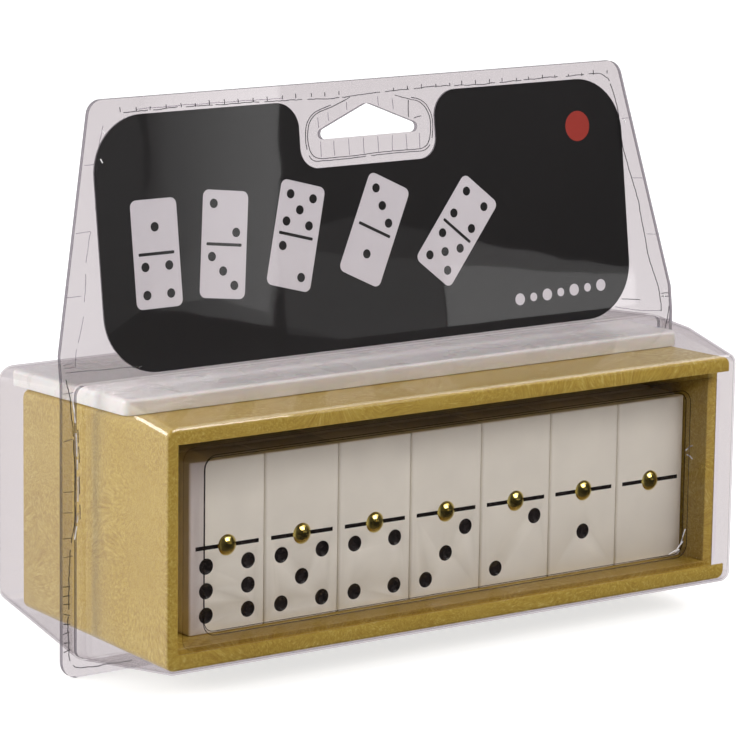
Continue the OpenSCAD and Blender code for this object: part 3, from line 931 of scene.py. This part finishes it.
bpy.ops.mesh.primitive_plane_add(size=12.0, location=(0, 0, 0))
floor = bpy.context.object
floor.name = "floor"
FLOOR_LIFT = 0.7
VEIL_REACH = 1.3
material, tree, surface = new_material("pale_floor")
place = add(tree, "ShaderNodeTexCoord").outputs["Object"]
haze = add(tree, "ShaderNodeTexNoise", {"Vector": place, "Scale": 3.0}).outputs["Fac"]
colour = add(
    tree, "ShaderNodeValToRGB", {"Fac": haze}, [(0.3, "#BDBDBD"), (0.7, "#C1C1C1")]
).outputs["Color"]
path = add(tree, "ShaderNodeLightPath")
# The paper is lit up to white for the camera. Seen through the clear film it has this second colour, a little
# darker further back: painted shade and tint that stand in for the light the film holds back, put on the paper
# and not made by the film.
far = add(
    tree,
    "ShaderNodeMapRange",
    {"Value": add(tree, "ShaderNodeSeparateXYZ", {0: place}).outputs["Y"], "From Max": VEIL_REACH},
).outputs["Result"]
veil = add(
    tree, "ShaderNodeValToRGB", {"Fac": far}, [(0.0, "#FCF8FB"), (1.0, "#F3EEF1")]
).outputs["Color"]
lit = add(
    tree,
    "ShaderNodeBsdfPrincipled",
    {
        "Base Color": colour,
        "Roughness": 0.7,
        "Emission Color": "#FFFFFF",
        "Emission Strength": add(
            tree, "ShaderNodeMath", {0: path.outputs["Is Camera Ray"], 1: FLOOR_LIFT}, operation="MULTIPLY"
        ).outputs[0],
    },
).outputs[0]
veiled = add(tree, "ShaderNodeEmission", {"Color": veil}).outputs[0]
behind_film = add(
    tree, "ShaderNodeMath", {0: path.outputs["Transparent Depth"], 1: 0.5}, operation="GREATER_THAN"
).outputs[0]
seen_through = add(
    tree, "ShaderNodeMath", {0: behind_film, 1: path.outputs["Is Camera Ray"]}, operation="MULTIPLY"
).outputs[0]
tree.links.new(add(tree, "ShaderNodeMixShader", {0: seen_through, 1: lit, 2: veiled}).outputs[0], surface)
floor.data.materials.append(material)
floor.visible_glossy = False

# The studio: a white backdrop behind and to the left, which the clear sheets mirror, and a dim room in
# front and to the right.
DIM_ROOM, BRIGHT_ROOM = 0.02, 1.15
BACKDROP, BACKDROP_BEHIND_FILM = 1.05, 0.72
world = bpy.data.worlds.new("studio")
bpy.context.scene.world = world
world.use_nodes = True
tree = world.node_tree
tree.nodes.clear()
heading = add(tree, "ShaderNodeTexCoord").outputs["Generated"]
turned = add(
    tree, "ShaderNodeVectorMath", {0: heading, 1: (-0.55, 0.83, 0.0)}, operation="DOT_PRODUCT"
).outputs["Value"]
room = add(
    tree,
    "ShaderNodeMapRange",
    {"Value": turned, "From Min": -0.3, "From Max": 0.45, "To Min": DIM_ROOM, "To Max": BRIGHT_ROOM},
    interpolation_type="SMOOTHSTEP",
).outputs["Result"]
path = add(tree, "ShaderNodeLightPath")
behind_film = add(
    tree, "ShaderNodeMath", {0: path.outputs["Transparent Depth"], 1: 0.5}, operation="GREATER_THAN"
).outputs[0]
# Seen through the clear film, the backdrop is dimmer for the camera: painted shade for the light that the film
# holds back.
backdrop = add(tree, "ShaderNodeMix", {0: behind_film, 2: BACKDROP, 3: BACKDROP_BEHIND_FILM}).outputs[0]
strength = add(
    tree, "ShaderNodeMix", {0: path.outputs["Is Camera Ray"], 2: room, 3: backdrop}
).outputs[0]
glow = add(tree, "ShaderNodeBackground", {"Color": "#FFFFFF", "Strength": strength}).outputs[0]
tree.links.new(glow, tree.nodes.new("ShaderNodeOutputWorld").inputs["Surface"])


def soft_light(name, place, target, width, height, power, roll=0.0):
    """A rectangular area light at place, turned towards target."""
    light = bpy.data.objects.new(name, bpy.data.lights.new(name, "AREA"))
    light.data.shape = "RECTANGLE"
    light.data.size = width
    light.data.size_y = height
    light.data.energy = power
    light.location = place
    aim = (Vector(target) - Vector(place)).to_track_quat("-Z", "Y").to_matrix()
    light.rotation_euler = (aim @ Matrix.Rotation(math.radians(roll), 3, "Z")).to_euler()
    light.visible_camera = False
    bpy.context.scene.collection.objects.link(light)
    return light


soft_light("key", (0.35, -1.25, 1.1), (0, 0, 0.05), 1.0, 0.8, 18.5)
soft_light("left", (-1.5, 0.55, 0.7), (0, 0, 0.05), 0.8, 0.8, 18.0)
soft_light("top", (0.9, -0.25, 1.2), (0, 0, 0.05), 1.0, 0.8, 10.0)


def strip_light(name, centre, heading, across, up_by, width, height, glow, fade=None, roll=0.0):
    """A small light panel in the direction that the header mirrors towards the camera. The centre and
    the sizes are in mm, glow is its radiance, and fade its brightness from its left to its right."""
    facing = Vector(heading).normalized()
    side = Vector((-facing.y, facing.x, 0)).normalized()
    place = (Vector(centre) + across * side + up_by * facing.cross(side)) * MM
    power = math.pi * width * height * MM * MM * glow
    panel = soft_light(name, place, place - facing, width * MM, height * MM, power, roll)
    if fade:
        panel.data.use_nodes = True
        tree = panel.data.node_tree
        tree.nodes.clear()
        spot = add(tree, "ShaderNodeNewGeometry").outputs["Parametric"]
        u = add(tree, "ShaderNodeSeparateXYZ", {0: spot}).outputs["X"]
        shade = add(tree, "ShaderNodeValToRGB", {"Fac": u}, fade).outputs["Color"]
        out = add(tree, "ShaderNodeEmission", {"Color": shade}).outputs[0]
        tree.links.new(out, tree.nodes.new("ShaderNodeOutputLight").inputs["Surface"])


LEFT_PANEL = ((395.7, -712.7, 169.7), (0.5405, -0.8393, 0.0586))
RIGHT_PANEL = ((574.8, -678.2, 116.6), (0.6071, -0.794, 0.0313))
strip_light(
    "panel_left", *LEFT_PANEL, 11.8, 2.4, 66, 200, 1.05,
    [(0.0, "#606060"), (0.15, "#A8A8A8"), (0.6, "#E4E4E4"), (1.0, "#FFFFFF")], -6.94,
)
strip_light("panel_left_dim", *LEFT_PANEL, -74.0, 4.0, 110, 200, 0.12)
strip_light("panel_right", *RIGHT_PANEL, 2.0, -23.0, 97, 66, 1.1)
strip_light("panel_low", *RIGHT_PANEL, -88.0, -22.0, 80, 66, 0.28)

bpy.context.scene.view_settings.view_transform = "Standard"
